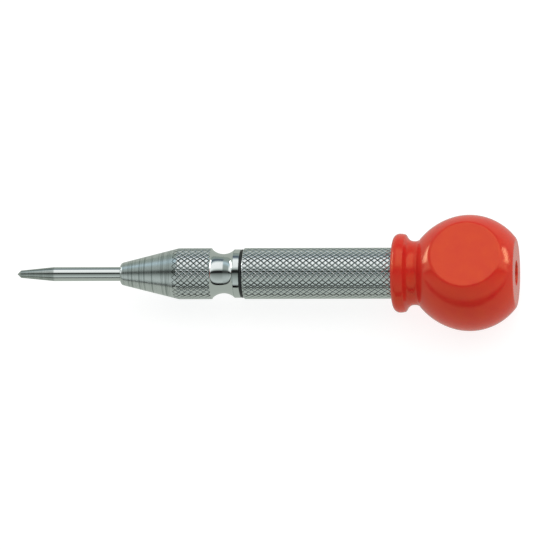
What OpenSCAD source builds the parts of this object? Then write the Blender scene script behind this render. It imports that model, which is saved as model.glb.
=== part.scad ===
// Automatic centre punch with a plastic ball cap, lying on one flat of the ball.
// The tool's axis runs along X, with the point at -X. All lengths along the axis
// are counted from the tip of the point. z = 0 is the lower flat of the ball.

/* [Point] */
// Diameter of the replaceable point
point_d = 4; // [3:0.5:5]
// Included angle of the conical tip
tip_angle = 90; // [60:5:120]
// Length of the ground taper behind the tip
taper_l = 10.6; // [6:0.2:14]
// Diameter where the taper meets the conical tip
taper_d = 2.1; // [1.2:0.1:2.6]
// Length of the point that stands out of the nose
point_out_l = 29.7; // [22:0.1:34]

/* [Nose and barrel] */
// Diameter over the knurling of the nose and the barrel
grip_d = 14.54; // [14:0.1:15.6]
// Diameter of the nose at its front face, before the corner is rounded
nose_front_d = 6.1; // [5.6:0.1:8]
// Length of the tapered stretch of the nose
nose_taper_l = 16.8; // [12:0.5:22]
// Length of the knurled stretch of the nose
nose_knurl_l = 9.4; // [6:0.1:14]
// Diameter at the bottom of the groove behind the nose knurling
groove_d = 11.2; // [10.6:0.1:11.4]
// Radius of the groove's arc
groove_r = 4.6; // [4.4:0.1:5.4]
// Diameter of the smooth collar at the nose's rear
collar_d = 13.8; // [13.4:0.1:14]
// Length of the smooth collar
collar_l = 1.8; // [1:0.1:3]
// Thickness of the rubber ring between nose and barrel
ring_w = 0.8; // [0.8:0.1:1.4]
// Length of the barrel, with the end that is hidden in the cap
barrel_l = 55.2; // [53:0.1:58]

/* [Ball cap] */
// Diameter of the ball
ball_d = 33.1; // [28:0.1:40]
// Distance of each side flat from the centre of the ball
flat_h = 13.2; // [12:0.1:13.6]
// Distance of the end flat from the centre of the ball
end_h = 13.4; // [12:0.1:13.8]
// Diameter of the lip at the cap's mouth
lip_d = 22.5; // [20:0.5:24]
// Diameter of the neck behind the lip
neck_d = 18.2; // [17.6:0.1:19]
// Diameter of the round recess in the end of the ball
recess_d = 7; // [4:0.5:9]

/* [Mechanism] */
// Travel of the point before the hammer is released
stroke = 9; // [7:0.5:9]
// Pitch of the adjusting thread
thread_pitch = 1; // [0.75:0.25:1.5]
// Diameter of the hammer
hammer_d = 9.4; // [9:0.1:9.5]
// Length of the hammer
hammer_l = 25.6; // [24:0.2:26]
// Wire diameter of the main spring
main_wire_d = 1.3; // [1:0.1:1.5]
// Number of coils of the main spring
main_coils = 9; // [7:0.5:10]
// Radial clearance of the sliding parts
slide_gap = 0.05; // [0.03:0.01:0.1]

/* [Hidden] */
$fn = 96;

steel = [0.62, 0.66, 0.63];
dark_steel = [0.42, 0.43, 0.44];
spring_steel = [0.5, 0.5, 0.52];
red = [0.75, 0.14, 0.13];
black = [0.06, 0.06, 0.06];

grip_r = grip_d / 2;
point_r = point_d / 2;
ball_r = ball_d / 2;

// Nose, from the tip of the point backwards
tip_l = taper_d / 2 / tan(tip_angle / 2);
nose_x = point_out_l;
nose_corner_r = 1.1;
knurl_x = nose_x + nose_taper_l;
knurl_end_x = knurl_x + nose_knurl_l;
groove_front_l = 3.4;
groove_back_l = 3.2;
collar_x = knurl_end_x + groove_front_l + groove_back_l;
ring_x = collar_x + collar_l;
barrel_x = ring_x + ring_w;
nose_thread_r = 6;
nose_thread_l = 7;
nose_end_x = barrel_x + nose_thread_l;
thread_gap = 0.02;

// The point is relieved from just in front of the nose, where it is held
relief_x = nose_x - 0.1;
relief_r = point_r - 0.2;

// Bores of the nose
point_bore_r = point_r + slide_gap;
spindle_bore_r = 4.4;
stop_x = nose_x + 11.65;

// Spindle
head_r = spindle_bore_r - slide_gap;
head_l = 4;
stem_r = 3.5;
strike_x = nose_end_x - 7.35;
tail_r = 1.25;
point_end_x = stop_x + 12;

// Hammer and sear
hammer_r = hammer_d / 2;
hammer_x = nose_end_x + slide_gap;
hammer_end_x = hammer_x + hammer_l;
hammer_edge = 0.4;
tail_bore_r = tail_r + 0.1;
tail_bore_l = 19.4;
sear_x = nose_end_x + 6.85;
sear_t = 3;
sear_w = 3.6;
sear_end_x = sear_x + sear_t;
sear_offset = 1.1;
sear_top = hammer_r + sear_offset;
sear_bottom = -2.6;
slot_floor = sear_bottom - sear_offset - 0.2;
sear_pocket_r = 0.9;
sear_pocket_top = -1.3;

// Barrel: release chamber, release cone, hammer bore and adjusting thread
chamber_r = sear_top + slide_gap;
hammer_bore_r = hammer_r + slide_gap;
cone_end_x = sear_end_x + stroke;
barrel_end_x = barrel_x + barrel_l;
barrel_edge = 0.35;
barrel_tail_r = grip_r - 0.2;
thread_x = barrel_end_x - 11;
thread_r = 5.5;

// Adjusting screw, spring seat and main spring
screw_x = barrel_end_x - 6.5;
screw_bore_r = 4.75;
screw_head_x = barrel_end_x + 6.2;
screw_head_r = 6.6;
screw_end_x = screw_head_x + 4.8;
key_groove_w = 1;
key_groove_h = 0.5;
seat_x = barrel_end_x + 7;
seat_t = 1.2;
seat_r = 4.6;
spigot_r = 2.6;
spigot_l = 3;
main_coil_r = 3.75;

// Cap
lip_x = barrel_end_x - 12.3;
grip_end_x = lip_x - 0.15;
lip_r = lip_d / 2;
lip_edge_r = 1.9;
lip_w = 4.2;
neck_r = neck_d / 2;
neck_fillet_r = 2.4;
neck_x = lip_x + 6.2;
shoulder_x = lip_x + 7.8;
shoulder_r = 19.5;
shoulder_tangent = 17;
ball_x = lip_x + 21.75;
end_x = ball_x + end_h;
cap_bore_r = grip_r + 0.15;
recess_l = 8;

// Points of an arc around c, from angle a0 to a1, in n steps
function arc(c, r, a0, a1, n) =
  [for (i = [0:n]) let (a = a0 + (a1 - a0) * i / n) [c[0] + r * cos(a), c[1] + r * sin(a)]];

// A round wire of radius wire_r wound into a helix along Z from z0 to z1
function helix_ring(i, steps, turns, coil_r, z0, z1, wire_r, sides) =
  let (t = i / steps)
  let (a = 360 * turns * t)
  [for (k = [0:sides - 1])
    let (b = 360 * k / sides)
    let (r = coil_r + wire_r * cos(b))
    [r * cos(a), r * sin(a), z0 + (z1 - z0) * t + wire_r * sin(b)]];

module coil_spring(coil_r, wire_r, turns, z0, z1, steps_per_turn = 16, sides = 8) {
  steps = round(turns * steps_per_turn);
  rings = [for (i = [0:steps]) helix_ring(i, steps, turns, coil_r, z0, z1, wire_r, sides)];
  points = [for (ring = rings) each ring];
  walls = [for (i = [0:steps - 1], k = [0:sides - 1])
    let (n = (k + 1) % sides)
    [i * sides + k, i * sides + n, (i + 1) * sides + n, (i + 1) * sides + k]];
  first = [for (k = [sides - 1:-1:0]) k];
  last = [for (k = [0:sides - 1]) steps * sides + k];
  polyhedron(points, concat([first], walls, [last]));
}

// Places a shape that is drawn along Z, from the tip, on the tool's axis
module on_axis() {
  translate([-end_x / 2, 0, flat_h]) rotate([0, 90, 0]) children();
}

// A turned solid: each point is [distance from the tip, radius]
module turned(outline) {
  rotate_extrude() polygon([for (p = outline) [p[1], p[0]]]);
}

// A cylinder between two distances from the tip
module rod(x0, x1, r0, r1 = undef) {
  translate([0, 0, x0]) cylinder(h = x1 - x0, r1 = r0, r2 = is_undef(r1) ? r0 : r1);
}

// Hardened point: conical tip, ground taper, a polished shank and a relieved end
module punch_point() {
  color(steel) on_axis() turned([
    [0, 0],
    [tip_l, taper_d / 2],
    [taper_l, point_r],
    [relief_x, point_r],
    [relief_x, relief_r],
    [point_end_x, relief_r],
    [point_end_x, 0]
  ]);
}

// Spindle: holds the point, stops on the nose and ends in the tail pin
module spindle() {
  color(dark_steel) on_axis() difference() {
    union() {
      rod(stop_x + slide_gap, stop_x + head_l, head_r);
      rod(stop_x + head_l - 1, strike_x, stem_r);
      rod(strike_x - 1, sear_x - slide_gap, tail_r);
    }
    rod(stop_x - 1, point_end_x, relief_r);
  }
}

// Light spring between the spindle's head and the front of the hammer
module return_spring() {
  wire_r = 0.3;
  coils = 8;
  color(spring_steel) on_axis() coil_spring(
    stem_r + 1.15 * wire_r, wire_r, coils,
    stop_x + head_l + wire_r + slide_gap, hammer_x - wire_r - slide_gap, 16, 6
  );
}

// Nose: rounded front, cone, knurled band, groove, collar and the barrel thread
module nose() {
  taper = atan((grip_r - nose_front_d / 2) / nose_taper_l);
  corner_h = nose_front_d / 2 + nose_corner_r * (tan(taper) - 1 / cos(taper));
  groove_c = [knurl_end_x + groove_front_l, groove_d / 2 + groove_r];
  groove_start = 180 + acos(groove_front_l / groove_r);
  groove_end = 360 - acos(groove_back_l / groove_r);
  color(steel) on_axis() difference() {
    turned(concat(
      [[nose_x, 0]],
      arc([nose_x + nose_corner_r, corner_h], nose_corner_r, 180, 90 + taper, 5),
      [[knurl_x, grip_r], [knurl_end_x, grip_r]],
      arc(groove_c, groove_r, groove_start, groove_end, 8),
      [[collar_x, collar_d / 2], [ring_x, collar_d / 2], [ring_x, nose_thread_r],
       [nose_end_x, nose_thread_r], [nose_end_x, 0]]
    ));
    rod(nose_x - 1, stop_x + 1, point_bore_r);
    rod(stop_x, nose_end_x + 1, spindle_bore_r);
  }
}

// Rubber ring that keeps the nose from working loose
module joint_ring() {
  r_out = collar_d / 2;
  r_in = nose_thread_r + thread_gap;
  edge = 0.35;
  color(black) on_axis() turned(concat(
    [[ring_x, r_in]],
    arc([ring_x + edge, r_out - edge], edge, 180, 90, 4),
    arc([barrel_x - edge, r_out - edge], edge, 90, 0, 4),
    [[barrel_x, r_in]]
  ));
}

// Barrel: grip and plain tail outside, stepped and coned inside
module barrel() {
  color(steel) on_axis() difference() {
    turned([
      [barrel_x, 0],
      [barrel_x, grip_r - barrel_edge],
      [barrel_x + barrel_edge, grip_r],
      [grip_end_x, grip_r],
      [grip_end_x, barrel_tail_r],
      [barrel_end_x - barrel_edge, barrel_tail_r],
      [barrel_end_x, barrel_tail_r - barrel_edge],
      [barrel_end_x, 0]
    ]);
    rod(barrel_x - 1, nose_end_x, nose_thread_r + thread_gap);
    rod(barrel_x, sear_end_x, chamber_r);
    rod(sear_end_x, cone_end_x, chamber_r, hammer_bore_r);
    rod(sear_end_x, thread_x + 1, hammer_bore_r);
    rod(thread_x, barrel_end_x + 1, thread_r + thread_gap);
  }
}

// Hammer: a slotted block with a blind bore for the tail pin
module hammer() {
  color(dark_steel) on_axis() difference() {
    turned([
      [hammer_x, 0],
      [hammer_x, hammer_r - hammer_edge],
      [hammer_x + hammer_edge, hammer_r],
      [hammer_end_x - hammer_edge, hammer_r],
      [hammer_end_x, hammer_r - hammer_edge],
      [hammer_end_x, 0]
    ]);
    rod(hammer_x - 1, hammer_x + tail_bore_l, tail_bore_r);
    translate([-hammer_r - 1, -sear_w / 2 - slide_gap, sear_x - slide_gap])
      cube([hammer_r + 1 - slot_floor, sear_w + 2 * slide_gap, sear_t + 2 * slide_gap]);
  }
}

// Sear: a cross slide whose hole lines up with the tail pin when it is pushed in
module sear() {
  color(steel) on_axis() difference() {
    intersection() {
      translate([-sear_top, -sear_w / 2, sear_x])
        cube([sear_top - sear_bottom, sear_w, sear_t]);
      translate([-sear_offset, 0, 0]) rod(sear_x - 1, sear_end_x + 1, hammer_r);
    }
    translate([-sear_offset, 0, 0]) rod(sear_x - 1, sear_end_x + 1, tail_bore_r);
    translate([-sear_pocket_top, 0, sear_x + sear_t / 2]) rotate([0, 90, 0])
      cylinder(h = 4, r = sear_pocket_r);
  }
}

// Small spring under the sear
module sear_spring() {
  wire_r = 0.13;
  coil_r = 0.65;
  coils = 4.5;
  color(spring_steel) on_axis() translate([0, 0, sear_x + sear_t / 2]) rotate([0, 90, 0])
    coil_spring(
      coil_r, wire_r, coils,
      -sear_pocket_top + wire_r + slide_gap, -slot_floor - wire_r - slide_gap, 12, 6
    );
}

// Main spring between the hammer and the spring seat
module main_spring() {
  wire_r = main_wire_d / 2;
  color(spring_steel) on_axis() coil_spring(
    main_coil_r, wire_r, main_coils,
    hammer_end_x + wire_r + slide_gap, seat_x - wire_r - slide_gap
  );
}

// Thrust washer with a spigot that centres the main spring
module spring_seat() {
  color(steel) on_axis() {
    rod(seat_x, seat_x + seat_t, seat_r);
    rod(seat_x - spigot_l, seat_x + seat_t / 2, spigot_r);
  }
}

// Head of the adjusting screw, with the groove that keys it into the cap
module screw_head() {
  groove_x = (screw_head_x + screw_end_x - key_groove_w) / 2;
  rod(screw_head_x, groove_x, screw_head_r);
  rod(groove_x - 1, groove_x + key_groove_w + 1, screw_head_r - key_groove_h);
  rod(groove_x + key_groove_w, screw_end_x, screw_head_r);
}

// Hollow adjusting screw, moulded into the cap by its grooved head
module adjusting_screw() {
  color(dark_steel) on_axis() difference() {
    union() {
      rod(screw_x, screw_head_x + 1, thread_r);
      screw_head();
    }
    rod(screw_x - 1, seat_x + seat_t + slide_gap, screw_bore_r);
  }
}

// Outline of the cap's lip, neck, shoulder and ball
module cap_outline() {
  lip_c = lip_r - lip_edge_r;
  normal = 90 + shoulder_tangent;
  shoulder_c = [ball_x, 0] - (shoulder_r - ball_r) * [cos(normal), sin(normal)];
  start = 180 - acos((shoulder_c[0] - shoulder_x) / shoulder_r);
  turned(concat(
    [[lip_x, 0]],
    arc([lip_x + lip_edge_r, lip_c], lip_edge_r, 180, 90, 8),
    arc([lip_x + lip_w - lip_edge_r, lip_c], lip_edge_r, 90, 28, 6),
    arc([neck_x, neck_r + neck_fillet_r], neck_fillet_r, 218, 306, 8),
    arc(shoulder_c, shoulder_r, start, normal, 10),
    arc([ball_x, 0], ball_r, normal, 0, 26)
  ));
}

// Ball cap: lip, neck and a ball with two side flats and an end flat
module ball_cap() {
  color(red) on_axis() difference() {
    intersection() {
      cap_outline();
      translate([-flat_h, -ball_r - 1, lip_x - 1])
        cube([2 * flat_h, 2 * ball_r + 2, end_x - lip_x + 1]);
    }
    rod(lip_x - 1, screw_head_x, cap_bore_r);
    screw_head();
    rod(end_x - recess_l, end_x + 1, recess_d / 2);
  }
}

punch_point();
spindle();
return_spring();
nose();
joint_ring();
barrel();
hammer();
sear();
sear_spring();
main_spring();
spring_seat();
adjusting_screw();
ball_cap();
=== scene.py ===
import math

import bmesh
import bpy
from mathutils import Matrix, Vector


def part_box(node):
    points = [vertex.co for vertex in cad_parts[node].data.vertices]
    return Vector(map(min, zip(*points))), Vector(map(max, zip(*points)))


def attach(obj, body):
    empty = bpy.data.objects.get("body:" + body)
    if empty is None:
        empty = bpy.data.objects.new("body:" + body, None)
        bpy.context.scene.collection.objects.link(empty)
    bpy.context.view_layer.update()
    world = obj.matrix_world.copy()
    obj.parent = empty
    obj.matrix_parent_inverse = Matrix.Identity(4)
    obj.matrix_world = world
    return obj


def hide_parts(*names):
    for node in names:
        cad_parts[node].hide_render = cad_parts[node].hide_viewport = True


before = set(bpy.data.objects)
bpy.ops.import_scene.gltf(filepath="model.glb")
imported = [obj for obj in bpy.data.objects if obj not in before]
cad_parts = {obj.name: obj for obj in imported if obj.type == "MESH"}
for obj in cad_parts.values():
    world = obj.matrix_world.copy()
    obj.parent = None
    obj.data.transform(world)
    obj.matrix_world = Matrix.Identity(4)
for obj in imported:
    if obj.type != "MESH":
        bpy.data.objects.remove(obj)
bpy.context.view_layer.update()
print("frame loaded:", len(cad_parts), "nodes")

mm = 0.001
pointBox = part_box("punch_point")
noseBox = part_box("nose")
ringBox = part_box("joint_ring")
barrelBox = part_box("barrel")
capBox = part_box("ball_cap")
axisZ = (barrelBox[0].z + barrelBox[1].z) / 2
axisStart = Vector((0, 0, axisZ))


def startFresh():
    if bpy.context.object and bpy.context.object.mode != "OBJECT":
        bpy.ops.object.mode_set(mode="OBJECT")
    bpy.ops.object.select_all(action="DESELECT")


def editMesh():
    return bmesh.from_edit_mesh(bpy.context.object.data)


def pick(kind, test):
    # selects the vertices, edges or faces that pass the test, and nothing else
    bpy.ops.mesh.select_all(action="DESELECT")
    mesh = editMesh()
    parts = {"VERT": mesh.verts, "EDGE": mesh.edges, "FACE": mesh.faces}[kind]
    for part in parts:
        if test(part):
            part.select_set(True)
    mesh.select_flush_mode()
    bmesh.update_edit_mesh(bpy.context.object.data)


def cutAt(place, normal, clear=True):
    # bisects the whole mesh; the usual threshold, 0.1 mm, is too coarse for a tool this small
    bpy.ops.mesh.select_all(action="SELECT")
    bpy.ops.mesh.bisect(plane_co=place, plane_no=normal, clear_outer=clear, threshold=1e-7)


def cleanUp(gap=1e-6):
    bpy.ops.mesh.select_all(action="SELECT")
    bpy.ops.mesh.remove_doubles(threshold=gap)
    bpy.ops.mesh.normals_make_consistent(inside=False)


def applyModifier(kind, **settings):
    piece = bpy.context.object
    modifier = piece.modifiers.new(kind.title(), kind)
    for key, value in settings.items():
        setattr(modifier, key, value)
    bpy.ops.object.modifier_apply(modifier=modifier.name)


def arcPoints(centre, radius, start, end, steps):
    # points on an arc of the outline, as (distance along the axis, distance from it)
    points = []
    for i in range(steps + 1):
        turn = math.radians(start + (end - start) * i / steps)
        points.append((centre[0] + radius * math.cos(turn), centre[1] + radius * math.sin(turn)))
    return points


def drawOutline(name, outline):
    # a chain of vertices in the plane above the axis, extruded point by point
    startFresh()
    bpy.ops.mesh.primitive_plane_add(size=mm, location=(0, 0, 0))
    piece = bpy.context.object
    piece.name = name
    bpy.ops.object.mode_set(mode="EDIT")
    bpy.ops.mesh.select_all(action="SELECT")
    bpy.ops.mesh.merge(type="CENTER")
    here = Vector((0, 0, 0))
    for i, (x, r) in enumerate(outline):
        spot = Vector((x, 0, axisZ + r))
        if i == 0:
            bpy.ops.transform.translate(value=spot - here)
        else:
            bpy.ops.mesh.extrude_region_move(TRANSFORM_OT_translate={"value": spot - here})
        here = spot
    return piece


def turnPiece(name, outline, steps):
    # a lathe: the outline is spun once round the tool's axis
    piece = drawOutline(name, outline)
    bpy.ops.mesh.select_all(action="SELECT")
    bpy.ops.mesh.spin(steps=steps, angle=2 * math.pi, center=axisStart, axis=(1, 0, 0),
                      use_auto_merge=True)
    cleanUp()
    bpy.ops.object.mode_set(mode="OBJECT")
    return piece


def finishPiece(piece, body, node, material=None, angle=35):
    startFresh()
    piece.select_set(True)
    bpy.context.view_layer.objects.active = piece
    bpy.ops.object.shade_smooth_by_angle(angle=math.radians(angle))
    if material:
        piece.data.materials.clear()
        piece.data.materials.append(material)
    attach(piece, body)
    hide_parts(node)


def linear(hexColor):
    # sRGB hex to the linear colour that the shader takes
    channels = [int(hexColor[i:i + 2], 16) / 255 for i in (1, 3, 5)]
    return [c / 12.92 if c <= 0.04045 else ((c + 0.055) / 1.055) ** 2.4 for c in channels] + [1]


def setUp(tree, node, settings=None, links=None):
    # a setting goes to the node's property of that name, or else to its socket; a link gives
    # the socket's source as (node, output)
    for key, value in (settings or {}).items():
        if isinstance(key, str) and hasattr(node, key):
            setattr(node, key, value)
        else:
            node.inputs[key].default_value = value
    for key, (source, output) in (links or {}).items():
        tree.links.new(source.outputs[output], node.inputs[key])


def addNode(tree, kind, settings=None, links=None):
    node = tree.nodes.new(kind)
    setUp(tree, node, settings, links)
    return node


def addMath(tree, operation, *terms):
    # a term is a number or a source as (node, output)
    node = addNode(tree, "ShaderNodeMath", {"operation": operation})
    for i, term in enumerate(terms):
        if isinstance(term, tuple):
            setUp(tree, node, links={i: term})
        else:
            setUp(tree, node, {i: term})
    return node


def addRange(tree, source, span=(0.0, 1.0), to=(0.0, 1.0)):
    settings = {"From Min": span[0], "From Max": span[1], "To Min": to[0], "To Max": to[1]}
    return addNode(tree, "ShaderNodeMapRange", settings, {"Value": source})


def addNoise(tree, source, scale, detail, roughness=0.5):
    settings = {"Scale": scale, "Detail": detail, "Roughness": roughness}
    return addNode(tree, "ShaderNodeTexNoise", settings, {"Vector": source})


def addStretch(tree, source, scale):
    return addNode(tree, "ShaderNodeMapping", {"Scale": scale}, {"Vector": source})


def addBump(tree, source, strength, height):
    settings = {"Strength": strength, "Distance": height * mm}
    return addNode(tree, "ShaderNodeBump", settings, {"Height": source})


def blendColors(tree, source, first, second):
    # two hex colours, mixed by the source; the result is output 2
    settings = {"data_type": "RGBA", 6: linear(first), 7: linear(second)}
    return addNode(tree, "ShaderNodeMix", settings, {0: source})


def newMaterial(name):
    material = bpy.data.materials.new(name)
    material.use_nodes = True
    tree = material.node_tree
    tree.nodes.clear()
    shader = addNode(tree, "ShaderNodeBsdfPrincipled")
    addNode(tree, "ShaderNodeOutputMaterial", links={"Surface": (shader, "BSDF")})
    coords = addNode(tree, "ShaderNodeTexCoord")
    return material, tree, shader, (coords, "Object")


platedValues = {
    "color": "#dadedd",       # nickel plate
    "darkColor": "#cdd2d1",
    "blotchScale": 220.0,
    "blotchRange": (0.3, 0.7),
    "roughness": (0.05, 0.12),
    "markSpacing": 0.45,      # mm between turning marks, coarser than real ones so that they show
    "markLength": 30,         # the larger, the shorter they are
    "markHeight": 0.003,      # mm
    "markStrength": 0.35,
    "coneEnd": 15.6,          # mm behind the nose's front: in front of it the turning is coarser
    "coneBlend": 0.3,         # mm to each side
    "coneDullness": 0.13,     # more roughness there
    "coneMarks": 4.0,         # and so many times higher marks
    "markColor": "#858e8a",   # the shade in the marks there
    "markShade": 0.75,        # and its share
    "markRange": (0.48, 0.66),
}


def platedSteelMaterial(values=platedValues):
    # nickel-plated turned steel: sharp reflections, broken up by faint turning marks
    material, tree, shader, coords = newMaterial("platedTurnedSteel")
    short = values["markLength"]
    marks = addStretch(tree, coords, (1 / (values["markSpacing"] * mm), short, short))
    lines = addNoise(tree, (marks, "Vector"), 1.0, 3.0, 0.6)
    blotches = addNoise(tree, coords, values["blotchScale"], 3.0)
    tint = blendColors(tree, (blotches, "Fac"), values["color"], values["darkColor"])
    gloss = addRange(tree, (blotches, "Fac"), values["blotchRange"], values["roughness"])
    split = addNode(tree, "ShaderNodeSeparateXYZ", links={"Vector": coords})
    coneX = noseBox[0].x + values["coneEnd"] * mm
    blend = values["coneBlend"] * mm
    edge = (coneX - blend, coneX + blend)
    dull = addRange(tree, (split, "X"), edge, (values["coneDullness"], 0.0))
    height = addRange(tree, (split, "X"), edge, (values["coneMarks"], 1.0))
    onCone = addRange(tree, (split, "X"), edge, (values["markShade"], 0.0))
    deep = addRange(tree, (lines, "Fac"), values["markRange"])
    roughness = addMath(tree, "ADD", (gloss, "Result"), (dull, "Result"))
    shade = addMath(tree, "MULTIPLY", (onCone, "Result"), (deep, "Result"))
    marked = addNode(tree, "ShaderNodeMix",
                     {"data_type": "RGBA", 7: linear(values["markColor"])},
                     {0: (shade, "Value"), 6: (tint, 2)})
    relief = addMath(tree, "MULTIPLY", (lines, "Fac"), (height, "Result"))
    bump = addBump(tree, (relief, "Value"), values["markStrength"], values["markHeight"])
    setUp(tree, shader, {"Metallic": 1.0},
          {"Base Color": (marked, 2), "Roughness": (roughness, "Value"),
           "Normal": (bump, "Normal")})
    return material


groundValues = {
    "polished": "#d6dad8",
    "ground": "#9aa19d",
    "groundEnd": 10.6,        # mm from the tip: the taper ends there too
    "blend": (0.2, 0.3),      # mm in front of it and behind it
    "roughness": (0.07, 0.2),
    "scratchSpacing": 0.22,   # mm between grinding marks
    "scratchLength": 90,      # the larger, the shorter they are
    "scratchRange": (0.35, 0.65),
    "scratchHeight": 0.015,   # mm
    "scratchStrength": 0.4,
    "leastGround": 0.5,       # the ground look's share between the scratches
}


def groundSteelMaterial(values=groundValues):
    # hardened tool steel: a dull ground taper at the front, then a bright polished shank
    material, tree, shader, coords = newMaterial("groundToolSteel")
    split = addNode(tree, "ShaderNodeSeparateXYZ", links={"Vector": coords})
    groundX = pointBox[0].x + values["groundEnd"] * mm
    before, behind = values["blend"]
    zone = addRange(tree, (split, "X"), (groundX - before * mm, groundX + behind * mm),
                    (1.0, 0.0))
    short = values["scratchLength"]
    marks = addStretch(tree, coords, (1 / (values["scratchSpacing"] * mm), short, short))
    scratches = addNoise(tree, (marks, "Vector"), 1.0, 4.0, 0.7)
    shade = addRange(tree, (scratches, "Fac"), values["scratchRange"])
    least = values["leastGround"]
    dull = addMath(tree, "MULTIPLY_ADD", (shade, "Result"), 1 - least, least)
    mask = addMath(tree, "MULTIPLY", (zone, "Result"), (dull, "Value"))
    tint = blendColors(tree, (mask, "Value"), values["polished"], values["ground"])
    gloss = addRange(tree, (mask, "Value"), to=values["roughness"])
    height = addMath(tree, "MULTIPLY", (zone, "Result"), (scratches, "Fac"))
    bump = addBump(tree, (height, "Value"), values["scratchStrength"], values["scratchHeight"])
    setUp(tree, shader, {"Metallic": 1.0},
          {"Base Color": (tint, 2), "Roughness": (gloss, "Result"), "Normal": (bump, "Normal")})
    return material


# painted shade for the bottom of the knurl's grooves: near black steel, broken up by random specks
grooveShadeValues = {
    "color": "#101213",
    "speckColor": "#25282a",
    "speckScale": 900.0,
    "roughness": (0.3, 0.5),
}


def grooveShadeMaterial(values=grooveShadeValues):
    # the same steel at the bottom of the knurl, painted dark and dull as shade in the grooves,
    # with random specks
    material, tree, shader, coords = newMaterial("knurlGroovePaintedShade")
    specks = addNoise(tree, coords, values["speckScale"], 3.0)
    tint = blendColors(tree, (specks, "Fac"), values["color"], values["speckColor"])
    gloss = addRange(tree, (specks, "Fac"), to=values["roughness"])
    setUp(tree, shader, {"Metallic": 1.0},
          {"Base Color": (tint, 2), "Roughness": (gloss, "Result")})
    return material


rubberValues = {
    "color": "#141516",
    "roughness": (0.38, 0.55),
    "ior": 1.52,
    "grainScale": 4000.0,
    "grainHeight": 0.01,      # mm
    "grainStrength": 0.2,
}


def rubberMaterial(values=rubberValues):
    # nitrile rubber, moulded: near black, with a dull sheen
    material, tree, shader, coords = newMaterial("blackNitrileRubber")
    grain = addNoise(tree, coords, values["grainScale"], 2.0)
    gloss = addRange(tree, (grain, "Fac"), to=values["roughness"])
    bump = addBump(tree, (grain, "Fac"), values["grainStrength"], values["grainHeight"])
    setUp(tree, shader, {"Base Color": linear(values["color"]), "IOR": values["ior"]},
          {"Roughness": (gloss, "Result"), "Normal": (bump, "Normal")})
    return material


plasticValues = {
    "color": "#d6222a",
    "lightColor": "#de3a24",
    "cloudScale": 260.0,
    "sheen": "#ffd08c",       # the skin throws back a warm light
    "sheenLevel": 0.85,
    "ior": 1.5,
    "roughness": (0.12, 0.19),
    "peel": 1.6,              # mm, the size of the soft ripples left by the mould
    "peelHeight": 0.03,       # mm
    "peelStrength": 0.25,
}


def redPlasticMaterial(values=plasticValues):
    # injection-moulded cellulose acetate: bright opaque red, glossy, with a slightly rippled skin
    material, tree, shader, coords = newMaterial("redMouldedAcetate")
    clouds = addNoise(tree, coords, values["cloudScale"], 4.0)
    tint = blendColors(tree, (clouds, "Fac"), values["color"], values["lightColor"])
    gloss = addRange(tree, (clouds, "Fac"), to=values["roughness"])
    peel = addNoise(tree, coords, 1 / (values["peel"] * mm), 2.0)
    bump = addBump(tree, (peel, "Fac"), values["peelStrength"], values["peelHeight"])
    setUp(tree, shader,
          {"IOR": values["ior"], "Specular IOR Level": values["sheenLevel"],
           "Specular Tint": linear(values["sheen"])},
          {"Base Color": (tint, 2), "Roughness": (gloss, "Result"), "Normal": (bump, "Normal")})
    return material


innerValues = {
    "turned": ("#8c8f91", 0.35),    # colour and roughness
    "wire": ("#77797c", 0.3),
    "spread": 0.08,           # of the roughness, to each side
    "marks": (4000, 60, 60),
}


def innerSteelMaterial(name, kind, values=innerValues):
    # turned and oiled steel, or drawn wire, for the parts inside
    material, tree, shader, coords = newMaterial(name)
    color, roughness = values[kind]
    marks = addStretch(tree, coords, values["marks"])
    lines = addNoise(tree, (marks, "Vector"), 1.0, 2.0)
    gloss = addRange(tree, (lines, "Fac"),
                     to=(roughness - values["spread"], roughness + values["spread"]))
    setUp(tree, shader, {"Base Color": linear(color), "Metallic": 1.0},
          {"Roughness": (gloss, "Result")})
    return material


platedSteel = platedSteelMaterial()
groundSteel = groundSteelMaterial()
paintedGrooveShade = grooveShadeMaterial()
blackRubber = rubberMaterial()
redPlastic = redPlasticMaterial()
turnedSteel = innerSteelMaterial("turnedOiledSteel", "turned")
springSteel = innerSteelMaterial("drawnSpringWire", "wire")
print("materials made")


pointValues = {
    "tipLength": 1.05,
    "tipRadius": 1.05,
    "taperEnd": 10.6,
    "firstRing": 0.25,        # the shank's first ring behind the taper keeps the shading crisp
    "tipFlat": 0.06,
    "reliefAt": 0.1,          # so far in front of the nose, at rest
    "relief": 0.2,            # how much thinner the end in the nose is
    "facets": 64,
}


def makePoint(v=pointValues):
    x0 = pointBox[0].x
    r = (pointBox[1].z - pointBox[0].z) / 2
    thin = r - v["relief"] * mm
    reliefX = noseBox[0].x - v["reliefAt"] * mm
    outline = [
        (x0, 0), (x0 + v["tipFlat"] * mm, v["tipFlat"] * mm),
        (x0 + v["tipLength"] * mm, v["tipRadius"] * mm),
        (x0 + v["taperEnd"] * mm, r), (x0 + (v["taperEnd"] + v["firstRing"]) * mm, r),
        (reliefX, r), (reliefX, thin), (pointBox[1].x, thin), (pointBox[1].x, 0),
    ]
    piece = turnPiece("hardenedPoint", outline, v["facets"])
    finishPiece(piece, "spindle", "punch_point", groundSteel, angle=14)


makePoint()
print("point turned")


knurlValues = {
    "pitch": 1.85,            # mm along the axis
    "around": 28,             # diamonds round the grip
    # one diamond from its groove to its top: (step inwards, step upwards) in mm
    "grooveSteps": [(0.045, 0.0), (0.025, 0.1)],
    "flankSteps": [(0.11, 0.08), (0.02, 0.006)],
    "runOutCuts": 8,
    "cellGap": 0.001,         # mm, within which neighbouring diamonds share a vertex
    "edgeGap": 0.004,         # and the same for cut edges and the seam
}
knurlDepth = sum(up for _, up in knurlValues["grooveSteps"] + knurlValues["flankSteps"]) * mm


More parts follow.
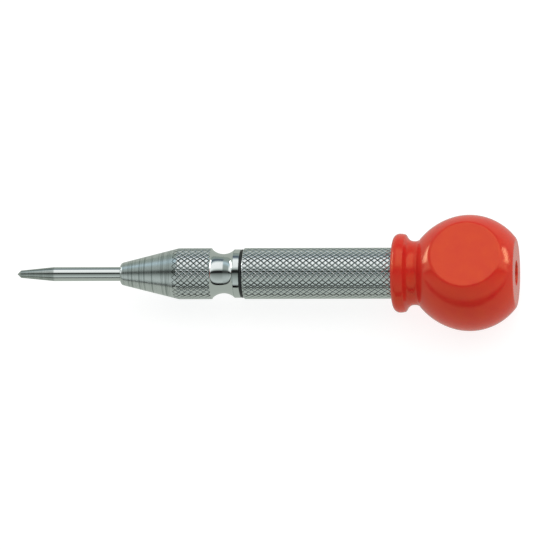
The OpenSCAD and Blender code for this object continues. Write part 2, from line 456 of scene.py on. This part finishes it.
def knurlStrip(name, x0, x1, radius, v=knurlValues):
    # One diamond is modelled flat and repeated into a strip as long as the grip's girth.
    # In the strip, X runs along the tool, Z runs round it and -Y points outwards.
    cells = max(1, round((x1 - x0) / (v["pitch"] * mm)))
    pitch = (x1 - x0) / cells
    width = 2 * math.pi * radius / v["around"]
    startFresh()
    bpy.ops.mesh.primitive_circle_add(vertices=4, radius=0.5, fill_type="NGON")
    piece = bpy.context.object
    piece.name = name
    bpy.ops.object.mode_set(mode="EDIT")
    bpy.ops.mesh.select_all(action="SELECT")
    bpy.ops.transform.resize(value=(pitch, width, 1), center_override=(0, 0, 0))
    bpy.ops.transform.rotate(value=-math.pi / 2, orient_axis="X", center_override=(0, 0, 0))
    bpy.ops.mesh.normals_make_consistent(inside=False)
    pick("FACE", lambda f: True)
    if editMesh().faces[:][0].normal.y > 0:
        bpy.ops.mesh.flip_normals()
    bpy.ops.transform.translate(value=(x0 - pitch, knurlDepth, 0))
    piece.data.materials.append(platedSteel)
    # the groove floors and lower flanks get the painted groove shade
    piece.data.materials.append(paintedGrooveShade)
    piece.active_material_index = 1
    bpy.ops.object.material_slot_assign()
    for inwards, upwards in v["grooveSteps"]:
        bpy.ops.mesh.inset(thickness=inwards * mm, depth=upwards * mm)
    piece.active_material_index = 0
    bpy.ops.object.material_slot_assign()
    for inwards, upwards in v["flankSteps"]:
        bpy.ops.mesh.inset(thickness=inwards * mm, depth=upwards * mm)
    bpy.ops.object.mode_set(mode="OBJECT")
    merge = {"use_relative_offset": False, "use_constant_offset": True, "use_merge_vertices": True,
             "merge_threshold": v["cellGap"] * mm}
    applyModifier("ARRAY", count=2, constant_offset_displace=(pitch / 2, 0, width / 2), **merge)
    applyModifier("ARRAY", count=cells + 2, constant_offset_displace=(pitch, 0, 0), **merge)
    applyModifier("ARRAY", count=v["around"], constant_offset_displace=(0, 0, width), **merge)
    bpy.ops.object.mode_set(mode="EDIT")
    cutAt((x0, 0, 0), (-1, 0, 0))
    cutAt((x1, 0, 0), (1, 0, 0))
    return piece


def chamferStrip(edgeX, side, slope, length):
    # the diamonds run out over a chamfer or cone that starts at edgeX: all that stands
    # above its surface is pushed down onto it
    cuts = knurlValues["runOutCuts"]
    for i in range(cuts):
        cutAt((edgeX + side * length * i / cuts, 0, 0), (1, 0, 0), clear=False)
    mesh = editMesh()
    for point in mesh.verts:
        point.co.y = max(point.co.y, (point.co.x - edgeX) * side * slope)
    bmesh.update_edit_mesh(bpy.context.object.data)


def plainRing():
    # spaces the newest ring evenly, because uneven facets would show as streaks in the steel,
    # and takes the groove's painted shade off its faces, which they have from the knurl's edge
    ring = sorted((p for p in editMesh().verts if p.select), key=lambda p: p.co.z)
    low, high = ring[0].co.z, ring[-1].co.z
    for i, point in enumerate(ring):
        point.co.z = low + (high - low) * i / (len(ring) - 1)
        for face in point.link_faces:
            face.material_index = 0
    bmesh.update_edit_mesh(bpy.context.object.data)


def carryEnd(fromX, outline, radius):
    # extrudes the strip's open end at fromX through the outline's points
    bpy.ops.mesh.select_all(action="SELECT")
    bpy.ops.mesh.remove_doubles(threshold=knurlValues["edgeGap"] * mm)
    pick("EDGE", lambda e: e.is_boundary and all(abs(p.co.x - fromX) < 1e-7 for p in e.verts))
    x = fromX
    for nextX, r in outline:
        bpy.ops.mesh.extrude_region_move(TRANSFORM_OT_translate={"value": (nextX - x, 0, 0)})
        bpy.ops.transform.resize(value=(1, 0, 1), center_override=(0, radius - r, 0))
        plainRing()
        x = nextX


def rollUp(radius, v=knurlValues):
    # bends the strip into a tube round the tool's axis; the two zigzag sides then meet
    bpy.ops.object.mode_set(mode="OBJECT")
    turn = 2 * math.pi * (v["around"] + 0.5) / v["around"]
    applyModifier("SIMPLE_DEFORM", deform_method="BEND", deform_axis="X", angle=turn)
    bpy.ops.object.mode_set(mode="EDIT")
    bpy.ops.mesh.select_all(action="SELECT")
    bpy.ops.transform.translate(value=(0, -radius, axisZ))
    cleanUp(v["edgeGap"] * mm)
    bpy.ops.object.mode_set(mode="OBJECT")


barrelValues = {
    "edge": 0.35,
    "bore": 6.02,
    "chamber": 5.85,
    "hammerBore": 4.75,
    "threadBore": 5.52,
    "socket": 7.0,
    "coneStart": 16.95,
    "coneEnd": 25.95,
    "thread": 11.0,
    "tailGap": 0.15,          # the knurl ends this far in front of the cap's mouth
    "tailStep": 0.2,          # and the tail inside the cap is this much thinner
    "tailStart": 0.1,         # it starts this far behind the knurl,
    "undercut": (0.05, 0.3),  # past a fine groove: (its place behind the knurl, its depth)
}


def makeBarrel(v=barrelValues):
    x0, x1 = barrelBox[0].x, barrelBox[1].x
    radius = (barrelBox[1].z - barrelBox[0].z) / 2
    edge = v["edge"] * mm
    gripEnd = capBox[0].x - v["tailGap"] * mm
    tail = radius - v["tailStep"] * mm
    undercut = (gripEnd + v["undercut"][0] * mm, radius - v["undercut"][1] * mm)
    piece = knurlStrip("knurledBarrel", x0, gripEnd, radius)
    chamferStrip(x0 + edge, -1, 1, edge)
    inside = [
        (x0, v["bore"] * mm), (x0 + v["socket"] * mm, v["bore"] * mm),
        (x0 + v["socket"] * mm, v["chamber"] * mm), (x0 + v["coneStart"] * mm, v["chamber"] * mm),
        (x0 + v["coneEnd"] * mm, v["hammerBore"] * mm),
        (x1 - v["thread"] * mm, v["hammerBore"] * mm),
        (x1 - v["thread"] * mm, v["threadBore"] * mm), (x1, v["threadBore"] * mm),
        (x1, tail - edge), (x1 - edge, tail), (gripEnd + v["tailStart"] * mm, tail), undercut,
    ]
    carryEnd(x0, inside, radius)
    carryEnd(gripEnd, [undercut], radius)
    rollUp(radius)
    finishPiece(piece, "housing", "barrel", angle=30)


makeBarrel()
print("barrel knurled")

noseValues = {
    "frontRadius": 3.05,
    "cornerRadius": 1.1,
    "knurlLength": 9.4,
    "grooveFront": 3.4,
    "grooveBack": 3.2,
    "grooveRadius": 4.6,
    "grooveBottom": 5.6,
    "collarLength": 1.8,
    "collarRadius": 6.9,
    "threadLength": 7.8,
    "threadRadius": 6.0,
    "runOut": 1.35,           # how far the knurl runs onto the cone
    "knurlEdge": 0.1,
    "coneRings": 8,
    "collarFrontEdge": 0.08,
    "collarEdge": 0.12,
    "pointBore": 2.05,
    "boreEdge": 0.15,
    "spindleBore": 4.4,
    "stop": 11.65,
}


def makeNose(v=noseValues):
    x0, x1 = noseBox[0].x, noseBox[1].x
    radius = (noseBox[1].z - noseBox[0].z) / 2
    ringX = x1 - v["threadLength"] * mm
    collarX = ringX - v["collarLength"] * mm
    knurlEnd = collarX - (v["grooveFront"] + v["grooveBack"]) * mm
    knurlStart = knurlEnd - v["knurlLength"] * mm
    taper = math.atan((radius - v["frontRadius"] * mm) / (knurlStart - x0))
    corner = v["cornerRadius"] * mm
    cornerHeight = v["frontRadius"] * mm + corner * (math.tan(taper) - 1 / math.cos(taper))
    runOut = knurlStart - v["runOut"] * mm
    coneStart = x0 + corner * (1 - math.sin(taper))
    knurlEdge = v["knurlEdge"] * mm
    front = [(runOut - knurlEdge, radius - (knurlStart - runOut + knurlEdge) * math.tan(taper))]
    for i in range(1, v["coneRings"]):
        x = runOut + (coneStart - runOut) * i / v["coneRings"]
        front.append((x, radius - (knurlStart - x) * math.tan(taper)))
    front += arcPoints((x0 + corner, cornerHeight), corner, 90 + math.degrees(taper), 180, 8)
    collar, collarEdge = v["collarRadius"] * mm, v["collarEdge"] * mm
    front += [
        (x0, (v["pointBore"] + v["boreEdge"]) * mm),
        (x0 + v["boreEdge"] * mm, v["pointBore"] * mm),
        (x0 + v["stop"] * mm, v["pointBore"] * mm), (x0 + v["stop"] * mm, v["spindleBore"] * mm),
        (x1, v["spindleBore"] * mm), (x1, v["threadRadius"] * mm),
        (ringX, v["threadRadius"] * mm), (ringX, collar - collarEdge),
    ]
    grooveMid = knurlEnd + v["grooveFront"] * mm
    grooveR = v["grooveRadius"] * mm
    low = 180 + math.degrees(math.acos(v["grooveFront"] / v["grooveRadius"]))
    high = 360 - math.degrees(math.acos(v["grooveBack"] / v["grooveRadius"]))
    groove = arcPoints((grooveMid, v["grooveBottom"] * mm + grooveR), grooveR, low, high, 22)
    frontEdge = v["collarFrontEdge"] * mm
    back = [(knurlEnd, radius - knurlEdge)] + groove[1:] + [
        (collarX, collar - frontEdge), (collarX + frontEdge, collar),
        (ringX - collarEdge, collar), (ringX, collar - collarEdge)]
    piece = knurlStrip("knurledNose", runOut, knurlEnd, radius)
    chamferStrip(knurlStart, -1, math.tan(taper), v["runOut"] * mm)
    carryEnd(runOut, front, radius)
    carryEnd(knurlEnd, back, radius)
    rollUp(radius)
    finishPiece(piece, "housing", "nose", angle=30)


makeNose()
print("nose knurled")


ringValues = {
    "bore": 6.02,
    "edge": 0.35,
    "facets": 96,
}


def makeRing(v=ringValues):
    x0, x1 = ringBox[0].x, ringBox[1].x
    outer = (ringBox[1].z - ringBox[0].z) / 2
    inner, edge = v["bore"] * mm, v["edge"] * mm
    outline = [(x0, inner)] + arcPoints((x0 + edge, outer - edge), edge, 180, 90, 6)
    outline += arcPoints((x1 - edge, outer - edge), edge, 90, 0, 6) + [(x1, inner), (x0, inner)]
    piece = turnPiece("rubberRing", outline, v["facets"])
    finishPiece(piece, "housing", "joint_ring", blackRubber)


makeRing()
print("ring made")


capValues = {
    "lipEdge": 1.9,
    "lipRadius": 11.25,
    "lipEnd": 3.75,
    "lipDrop": 0.17,          # how much lower the lip is at its rear
    "lipMiddle": (2.5, 0.1),  # a point between: its place, and its share of the drop
    "lipCorner": 0.5,
    "lipCornerArc": (80, 35),
    "neckRadius": 9.1,
    "neckFillet": 2.2,
    "neckAt": (5.95, 6.3),
    "neckArc": (218, 306),
    "shoulderAt": 7.8,
    "shoulderRadius": 19.5,
    "shoulderTangent": 17,
    "ballAt": 21.75,
    "ballRadius": 16.55,
    "flatHeight": 13.2,
    "endHeight": 13.4,
    "flatEdge": 1.6,
    "flatRim": 0.3,           # a narrow ring round each flat
    "rimGap": 0.12,           # vertices of a cut rim that are nearer than this are merged
    "bore": 7.42,
    "boreEdge": 0.3,
    "boreEnd": 18.5,
    "headRadius": 6.6,
    "headEnd": 23.3,
    "recessRadius": 3.5,
    "recessDepth": 8,
    # the way into it: (wider than the recess, below the flat)
    "recessEdge": [(0.5, 0), (0.3, 0), (0.1, 0.08), (0, 0.3)],
    "facets": 144,
    "markRadius": 0.6,
    "markAngle": 30,          # above the front horizon
    "markLength": 0.6,
    "markSink": 0.16,
    "markSteps": [(0.12, 0.08), (0.14, 0), (0.1, -0.12)],    # (inwards, upwards)
    "markFacets": 24,
}


def editX():
    # where the selected ring of vertices stands along the tool
    chosen = [p.co.x for p in editMesh().verts if p.select]
    return sum(chosen) / len(chosen)


def cutFlat(centre, side, flat, v):
    # The ball is cut a little below the flat, and its open rim is carried over a rounded
    # edge onto the flat. Gives the rim's last radius.
    ball, edge = v["ballRadius"] * mm, v["flatEdge"] * mm
    middle = math.sqrt((ball - edge) ** 2 - (flat - edge) ** 2)
    first = math.degrees(math.atan2(flat - edge, middle))
    profile = arcPoints((middle, flat - edge), edge, first, 90, 6)
    profile.append((middle - v["flatRim"] * mm, flat))
    cutAt(centre + side * profile[0][1], side)
    pick("EDGE", lambda e: e.is_boundary)
    bpy.ops.mesh.remove_doubles(threshold=v["rimGap"] * mm)
    pick("EDGE", lambda e: e.is_boundary)
    for (r0, h0), (r1, h1) in zip(profile, profile[1:]):
        bpy.ops.mesh.extrude_region_move(TRANSFORM_OT_translate={"value": side * (h1 - h0)})
        scale = r1 / r0
        bpy.ops.transform.resize(value=[1 if abs(part) > 0.5 else scale for part in side],
                                 center_override=centre + side * h1)
    return profile[-1][0]


def makeMouldMark(x0, v):
    # the little dished pip that the mould's gate leaves on the neck
    angle = math.radians(v["markAngle"])
    out = Vector((0, -math.cos(angle), math.sin(angle)))
    middle = Vector((x0 + sum(v["neckAt"]) / 2 * mm, 0, axisZ)) + out * v["neckRadius"] * mm
    startFresh()
    bpy.ops.mesh.primitive_cylinder_add(
        vertices=v["markFacets"], radius=v["markRadius"] * mm, depth=v["markLength"] * mm,
        location=middle, rotation=out.to_track_quat("Z", "Y").to_euler())
    mark = bpy.context.object
    mark.name = "mouldMark"
    bpy.ops.object.transform_apply(location=True, rotation=True, scale=True)
    bpy.ops.object.mode_set(mode="EDIT")
    pick("FACE", lambda f: f.normal.dot(out) > 0.9)
    bpy.ops.transform.translate(value=-out * v["markSink"] * mm)
    for inwards, upwards in v["markSteps"]:
        bpy.ops.mesh.inset(thickness=inwards * mm, depth=upwards * mm)
    cleanUp()
    bpy.ops.object.mode_set(mode="OBJECT")
    return mark


def makeCap(v=capValues):
    x0 = capBox[0].x
    lip = v["lipEdge"] * mm
    lipR = v["lipRadius"] * mm
    ballX = x0 + v["ballAt"] * mm
    ballR = v["ballRadius"] * mm
    shoulderR = v["shoulderRadius"] * mm
    normal = math.radians(90 + v["shoulderTangent"])
    beyond = shoulderR - ballR
    shoulderC = (ballX - beyond * math.cos(normal), -beyond * math.sin(normal))
    reach = (shoulderC[0] - x0 - v["shoulderAt"] * mm) / shoulderR
    start = 180 - math.degrees(math.acos(reach))
    fillet = v["neckFillet"] * mm
    neckC = [(x0 + at * mm, v["neckRadius"] * mm + fillet) for at in v["neckAt"]]
    headX, boreX = x0 + v["headEnd"] * mm, x0 + v["boreEnd"] * mm
    outline = [(headX, 0), (headX, v["headRadius"] * mm), (boreX, v["headRadius"] * mm),
               (boreX, v["bore"] * mm), (x0 + v["boreEdge"] * mm, v["bore"] * mm),
               (x0, (v["bore"] + v["boreEdge"]) * mm)]
    outline += arcPoints((x0 + lip, lipR - lip), lip, 180, 90, 10)
    corner, drop = v["lipCorner"] * mm, v["lipDrop"] * mm
    middle, share = v["lipMiddle"]
    outline += [(x0 + middle * mm, lipR - drop * share)]
    outline += arcPoints((x0 + v["lipEnd"] * mm - corner, lipR - drop - corner), corner,
                         *v["lipCornerArc"], 5)
    outline += arcPoints(neckC[0], fillet, v["neckArc"][0], 270, 8)
    outline += arcPoints(neckC[1], fillet, 270, v["neckArc"][1], 7)
    outline += arcPoints(shoulderC, shoulderR, start, 90 + v["shoulderTangent"], 12)
    outline += arcPoints((ballX, 0), ballR, 90 + v["shoulderTangent"], 0, 44)[1:]
    piece = turnPiece("ballCap", outline, v["facets"])
    bpy.ops.object.mode_set(mode="EDIT")
    ballCentre = Vector((ballX, 0, axisZ))
    for side in (Vector((0, 0, 1)), Vector((0, 0, -1))):
        cutFlat(ballCentre, side, v["flatHeight"] * mm, v)
        bpy.ops.mesh.edge_face_add()
    rim = cutFlat(ballCentre, Vector((1, 0, 0)), v["endHeight"] * mm, v)
    # the round moulding recess in the end flat
    recess = v["recessRadius"] * mm
    end = ballCentre + Vector((v["endHeight"] * mm, 0, 0))
    steps = [(recess + wider * mm, depth * mm) for wider, depth in v["recessEdge"]]
    for radius, depth in steps + [(recess, v["recessDepth"] * mm)]:
        bpy.ops.mesh.extrude_region_move(TRANSFORM_OT_translate={"value": (0, 0, 0)})
        scale = radius / rim
        bpy.ops.transform.resize(value=(1, scale, scale), center_override=end)
        bpy.ops.transform.translate(value=(end.x - depth - editX(), 0, 0))
        rim = radius
    bpy.ops.mesh.edge_face_add()
    cleanUp()
    bpy.ops.object.mode_set(mode="OBJECT")
    mark = makeMouldMark(x0, v)
    startFresh()
    mark.select_set(True)
    piece.select_set(True)
    bpy.context.view_layer.objects.active = piece
    bpy.ops.object.join()
    finishPiece(piece, "cap", "ball_cap", redPlastic, angle=40)


makeCap()
print("ball cap turned and cut")


insideMaterials = {
    "spindle": turnedSteel, "hammer": turnedSteel, "sear": turnedSteel,
    "spring_seat": turnedSteel, "adjusting_screw": turnedSteel,
    "return_spring": springSteel, "sear_spring": springSteel, "main_spring": springSteel,
}
for nodeName, material in insideMaterials.items():
    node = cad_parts[nodeName]
    node.data.materials.clear()
    node.data.materials.append(material)
print("inner parts finished")


floorValues = {
    "size": 6.0,
    "below": 0.02,            # mm under the tool
    "color": "#8c8c8b",
    "glow": 0.86,
    "roughness": 0.9,
    # its twin, which only the steel's reflections show
    "twinBelow": 0.4,
    "twinColor": "#b7bfb6",
    "twinGlow": 0.09,
    "twinFront": -0.19,       # where its front edge is
}


def makeTableTop(name, below, color, glow, front=None, v=floorValues):
    # with a front edge it is the twin for the reflections
    startFresh()
    bpy.ops.mesh.primitive_plane_add(size=v["size"], location=(0, 0, 0))
    floor = bpy.context.object
    floor.name = name
    bpy.ops.object.mode_set(mode="EDIT")
    bpy.ops.mesh.select_all(action="SELECT")
    bpy.ops.mesh.subdivide(number_cuts=3)
    bpy.ops.transform.translate(value=(0, 0, -below * mm))
    seen = front is None
    if not seen:
        cutAt((0, front, 0), (0, -1, 0))
    bpy.ops.object.mode_set(mode="OBJECT")
    material, tree, shader, _ = newMaterial(name + "Paint")
    setUp(tree, shader, {"Base Color": linear(color), "Roughness": v["roughness"],
                         "Specular IOR Level": 0.0, "Emission Color": (1, 1, 1, 1),
                         "Emission Strength": glow})
    floor.data.materials.append(material)
    floor.visible_camera = seen
    floor.visible_glossy = not seen
    floor.visible_diffuse = seen
    floor.visible_shadow = seen


def makeFloor(v=floorValues):
    # a pale table top, with a greyer twin just under it
    makeTableTop("tableTop", v["below"], v["color"], v["glow"])
    makeTableTop("tableInReflections", v["twinBelow"], v["twinColor"], v["twinGlow"],
                 v["twinFront"])


# What the steel shows round the tool's axis: 0 is the front horizon, 90 is overhead, 180 is
# the back. The big soft box hangs behind and over the cap, so its end above the point is dim.
studioValues = {
    "strength": 1.3,
    "overTheCap": [
        (0, "#0a0b0a"), (6, "#131514"), (11, "#a9b0ad"), (16, "#bcc4c2"), (32, "#adb5b2"),
        (46, "#99a19e"), (58, "#838a87"), (67, "#5e6461"), (71, "#1e201f"), (82, "#202221"),
        (87, "#979e9b"), (92, "#c6ccca"), (99, "#f0f1f1"), (134, "#fafbfc"), (142, "#c0cacb"),
        (149, "#66717b"), (158, "#545f6b"), (164, "#8b9896"), (180, "#87918a"),
    ],
    "overThePoint": [
        (0, "#3a3d3b"), (5, "#454846"), (11, "#a3aba8"), (26, "#b4bcba"), (46, "#a6aeac"),
        (58, "#8c9491"), (66, "#6a716e"), (72, "#3b3f3d"), (82, "#414543"), (89, "#7f8784"),
        (97, "#959d9a"), (115, "#98a2a0"), (127, "#a8b9bf"), (134, "#b8ccd4"), (141, "#a5b4ba"),
        (152, "#909b98"), (180, "#8f9991"),
    ],
    # share of the first one, from the point's side (-1) to the cap's side (1)
    "shares": [(-1, 1), (-0.9, 1), (-0.82, 0), (-0.32, 0), (-0.2, 1), (1, 1)],
    # two small lamps behind the ends of the tool: their span in the directions Y and Z
    "sideLamps": 4.5,
    "sideY": (0.2, 0.62),
    "sideZ": (0.03, 0.22),
    "sideSoft": (0.06, 0.03),     # how soft their edges are in Y and in Z
    "diffuseShare": 0.62,     # how much of the studio shades the plastic
}


def addRamp(tree, source, stops):
    # a colour ramp through (place, colour) stops
    ramp = addNode(tree, "ShaderNodeValToRGB", links={"Fac": source})
    for i, (place, color) in enumerate(stops):
        if i < 2:
            stop = ramp.color_ramp.elements[i]
            stop.position = place
        else:
            stop = ramp.color_ramp.elements.new(place)
        stop.color = color
    return ramp


def makeStudio(v=studioValues):
    world = bpy.data.worlds.new("softStudio")
    bpy.context.scene.world = world
    world.use_nodes = True
    tree = world.node_tree
    tree.nodes.clear()
    coords = addNode(tree, "ShaderNodeTexCoord")
    split = addNode(tree, "ShaderNodeSeparateXYZ", links={"Vector": (coords, "Generated")})
    front = addMath(tree, "MULTIPLY", (split, "Y"), -1.0)
    turn = addMath(tree, "ARCTAN2", (split, "Z"), (front, "Value"))
    share = addMath(tree, "DIVIDE", (turn, "Value"), math.pi)
    point, cap = [
        addRamp(tree, (share, "Value"), [(angle / 180, linear(color)) for angle, color in v[name]])
        for name in ("overThePoint", "overTheCap")]
    along = addRange(tree, (split, "X"), (-1.0, 1.0))
    shares = addRamp(tree, (along, "Result"),
                     [((x + 1) / 2, (level, level, level, 1)) for x, level in v["shares"]])
    both = addNode(tree, "ShaderNodeMix", {"data_type": "RGBA"},
                   {0: (shares, "Color"), 6: (point, "Color"), 7: (cap, "Color")})
    # the two side lamps, as one soft-edged window in Y and Z
    edges = []
    for axis, (low, high), soft in zip("YZ", (v["sideY"], v["sideZ"]), v["sideSoft"]):
        for span in ((low, low + soft), (high, high - soft)):
            edges.append(addRange(tree, (split, axis), span))
    window = edges[0]
    for edge in edges[1:]:
        window = addMath(tree, "MULTIPLY", (window, 0), (edge, 0))
    lamps = addMath(tree, "MULTIPLY", (window, 0), v["sideLamps"])
    lit = addNode(tree, "ShaderNodeMix", {"data_type": "RGBA", "blend_type": "ADD", 0: 1.0},
                  {6: (both, 2), 7: (lamps, "Value")})
    path = addNode(tree, "ShaderNodeLightPath")
    strength = addRange(tree, (path, "Is Diffuse Ray"),
                        to=(v["strength"], v["strength"] * v["diffuseShare"]))
    studio = addNode(tree, "ShaderNodeBackground",
                     links={"Color": (lit, 2), "Strength": (strength, "Result")})
    paper = addNode(tree, "ShaderNodeBackground", {"Color": (1, 1, 1, 1), "Strength": 1.0})
    mix = addNode(tree, "ShaderNodeMixShader", links={
        0: (path, "Is Camera Ray"), 1: (studio, "Background"), 2: (paper, "Background")})
    addNode(tree, "ShaderNodeOutputWorld", links={"Surface": (mix, "Shader")})


lampValues = {"size": 1.0, "power": 4.2, "place": (0.1, 0.2, 0.7)}


def makeLamp(v=lampValues):
    # a big soft lamp over the back of the table: it shades the plastic, and no reflection shows it
    data = bpy.data.lights.new("softLamp", "AREA")
    data.size = v["size"]
    data.energy = v["power"]
    lamp = bpy.data.objects.new("softLamp", data)
    bpy.context.scene.collection.objects.link(lamp)
    place = Vector(v["place"])
    turned = (place - axisStart).to_track_quat("Z", "Y").to_matrix().to_4x4()
    lamp.matrix_world = Matrix.Translation(place) @ turned
    lamp.visible_glossy = False


cameraValues = {
    "lens": 1150.0,           # mm: seen from far away, with hardly any perspective
    "sensor": 36,             # mm
    "clip": (0.01, 100),
    "distance": 5.0,
    "elevation": 66.0,
    "turn": 7.2,              # the cap end comes towards the camera
    "roll": -0.16,
    "aim": (0.00242, -0.0004, -0.00015),
}


def makeCamera(v=cameraValues):
    elevation, turn = math.radians(v["elevation"]), math.radians(v["turn"])
    back = Vector((math.sin(turn), -math.cos(turn) * math.cos(elevation),
                   math.cos(turn) * math.sin(elevation)))
    up = Vector((0, math.sin(elevation), math.cos(elevation)))
    right = up.cross(back).normalized()
    turned = Matrix((right, up, back)).transposed()
    turned = turned @ Matrix.Rotation(math.radians(v["roll"]), 3, "Z")
    aim = Vector(v["aim"]) + axisStart
    data = bpy.data.cameras.new("camera")
    data.lens = v["lens"]
    data.sensor_width = v["sensor"]
    data.clip_start, data.clip_end = v["clip"]
    camera = bpy.data.objects.new("camera", data)
    bpy.context.scene.collection.objects.link(camera)
    camera.matrix_world = Matrix.Translation(aim + back * v["distance"]) @ turned.to_4x4()
    bpy.context.scene.camera = camera


makeFloor()
makeStudio()
makeLamp()
makeCamera()
bpy.context.scene.view_settings.view_transform = "Standard"
print("stage set")
